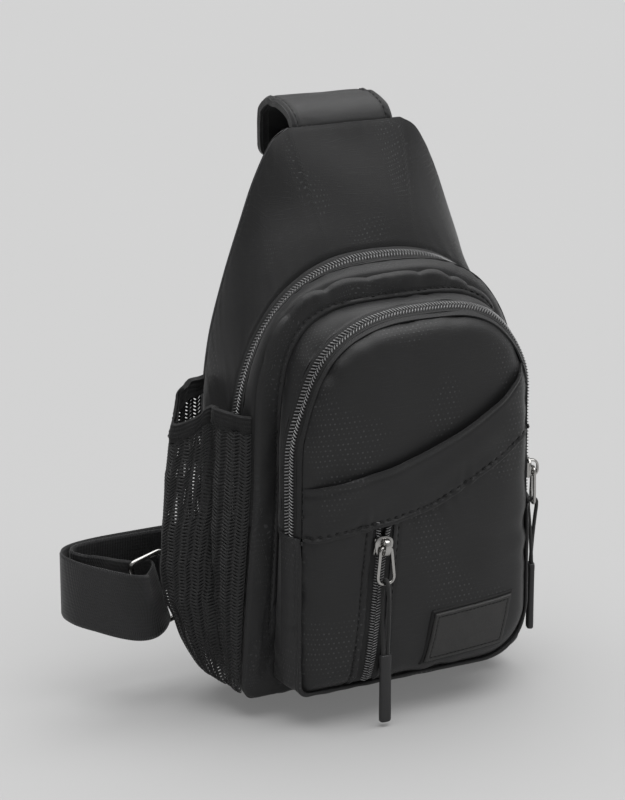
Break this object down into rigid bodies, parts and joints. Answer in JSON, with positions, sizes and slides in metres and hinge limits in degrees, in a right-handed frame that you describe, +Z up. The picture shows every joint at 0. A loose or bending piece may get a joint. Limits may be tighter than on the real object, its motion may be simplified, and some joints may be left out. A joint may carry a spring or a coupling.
{
  "type": "sling bag",
  "caption": "Soft sling bag with an arched main compartment, a zipped front compartment with slash and zip pockets, a mesh side pocket and a webbing strap on a wire ring.",
  "frame": {"origin": "point under the fold of the top strap, where a hook or hand holds the bag", "axes": "+Z up along the bag's height, +Y to the back, +X to the right seen from the front"},
  "size_m": [0.2763, 0.1558, 0.333],
  "materials": {
    "nylon": "black satin nylon with a small dobby dot",
    "lining": "plain lining cloth",
    "foam": "soft padding",
    "air_mesh": "black spacer mesh",
    "netting": "black open netting",
    "elastic": "black elastic binding",
    "webbing": "black ribbed webbing",
    "zip_tape": "black zip tape",
    "zip_coil": "dark grey nylon coil",
    "nickel": "plated nickel",
    "pull_cord": "braided cord",
    "pull_rubber": "soft moulded rubber",
    "patch_leather": "black grained leather, bare",
    "adjuster_plastic": "moulded black plastic"
  },
  "bodies": {
    "bag": {"back_cover": "air_mesh", "back_foam": "foam", "back_lining": "lining", "front_gusset_lower": "nylon", "front_gusset_upper": "nylon", "front_panel": "nylon", "front_zip_coil": "zip_coil", "front_zip_tape_front": "zip_tape", "front_zip_tape_rear": "zip_tape", "label_patch": "patch_leather", "main_front_panel": "nylon", "main_gusset_front": "nylon", "main_gusset_lower": "nylon", "main_zip_coil": "zip_coil", "main_zip_tape_front": "zip_tape", "main_zip_tape_rear": "zip_tape", "mesh_pocket": "netting", "mesh_pocket_elastic": "elastic", "pocket_panel_left": "nylon", "pocket_panel_right": "nylon", "pocket_zip_coil": "zip_coil", "pocket_zip_stop": "nickel", "pocket_zip_tape_left": "zip_tape", "pocket_zip_tape_right": "zip_tape", "ring_tab": "webbing", "shield_panel": "nylon", "slash_pocket_facing": "nylon", "top_strap": "nylon", "webbing": "webbing", "webbing_tail": "webbing"},
    "main_slider": {"main_zip_slider": "nickel"},
    "main_ring": {"main_zip_pull_ring": "nickel"},
    "main_pull": {"main_zip_pull_cord": "pull_cord", "main_zip_pull_tab": "pull_rubber"},
    "front_slider": {"front_zip_slider": "nickel"},
    "front_ring": {"front_zip_pull_ring": "nickel"},
    "front_pull": {"front_zip_pull_cord": "pull_cord", "front_zip_pull_tab": "pull_rubber"},
    "pocket_slider": {"pocket_zip_slider": "nickel"},
    "pocket_ring": {"pocket_zip_pull_ring": "nickel"},
    "pocket_pull": {"pocket_zip_pull_cord": "pull_cord", "pocket_zip_pull_tab": "pull_rubber"},
    "strap_ring": {"strap_ring": "nickel"},
    "adjuster": {"strap_adjuster": "adjuster_plastic"}
  },
  "joints": [
    {"name": "main_slider_slide", "type": "slide", "parent": "bag", "child": "main_slider", "axis": [0, 0, 1], "range_m": [-0.009, 0.004]},
    {"name": "main_ring_swing", "type": "hinge", "parent": "main_slider", "child": "main_ring", "pos_m": [0.09624, -0.07208, -0.202], "axis": [-0.1548, -0.9879, 0], "range_deg": [0, 80]},
    {"name": "main_pull_swing", "type": "hinge", "parent": "main_ring", "child": "main_pull", "pos_m": [0.09624, -0.07208, -0.223], "axis": [-0.1548, -0.9879, 0], "range_deg": [0, 60]},
    {"name": "front_slider_slide", "type": "slide", "parent": "bag", "child": "front_slider", "axis": [0, 0, 1], "range_m": [-0.009, 0.004]},
    {"name": "front_ring_swing", "type": "hinge", "parent": "front_slider", "child": "front_ring", "pos_m": [0.08114, -0.11008, -0.202], "axis": [-0.2893, -0.9573, 0], "range_deg": [0, 80]},
    {"name": "front_pull_swing", "type": "hinge", "parent": "front_ring", "child": "front_pull", "pos_m": [0.08114, -0.11008, -0.223], "axis": [-0.2893, -0.9573, 0], "range_deg": [0, 60]},
    {"name": "pocket_slider_slide", "type": "slide", "parent": "bag", "child": "pocket_slider", "axis": [0.0946, 0, 0.9955], "range_m": [-0.066, 0.002]},
    {"name": "pocket_ring_swing", "type": "hinge", "parent": "pocket_slider", "child": "pocket_ring", "pos_m": [-0.028, -0.1319, -0.226], "axis": [-1, 0, 0], "range_deg": [0, 80]},
    {"name": "pocket_pull_swing", "type": "hinge", "parent": "pocket_ring", "child": "pocket_pull", "pos_m": [-0.028, -0.1319, -0.247], "axis": [-1, 0, 0], "range_deg": [0, 60]},
    {"name": "strap_ring_swing", "type": "hinge", "parent": "bag", "child": "strap_ring", "pos_m": [-0.10991, -0.027, -0.26611], "axis": [-0.2756, 0, 0.9613], "range_deg": [-8, 8]},
    {"name": "adjuster_slide", "type": "slide", "parent": "bag", "child": "adjuster", "axis": [1, 0, 0], "range_m": [-0.018, 0.012], "deforming": ["webbing_tail"]}
  ]
}
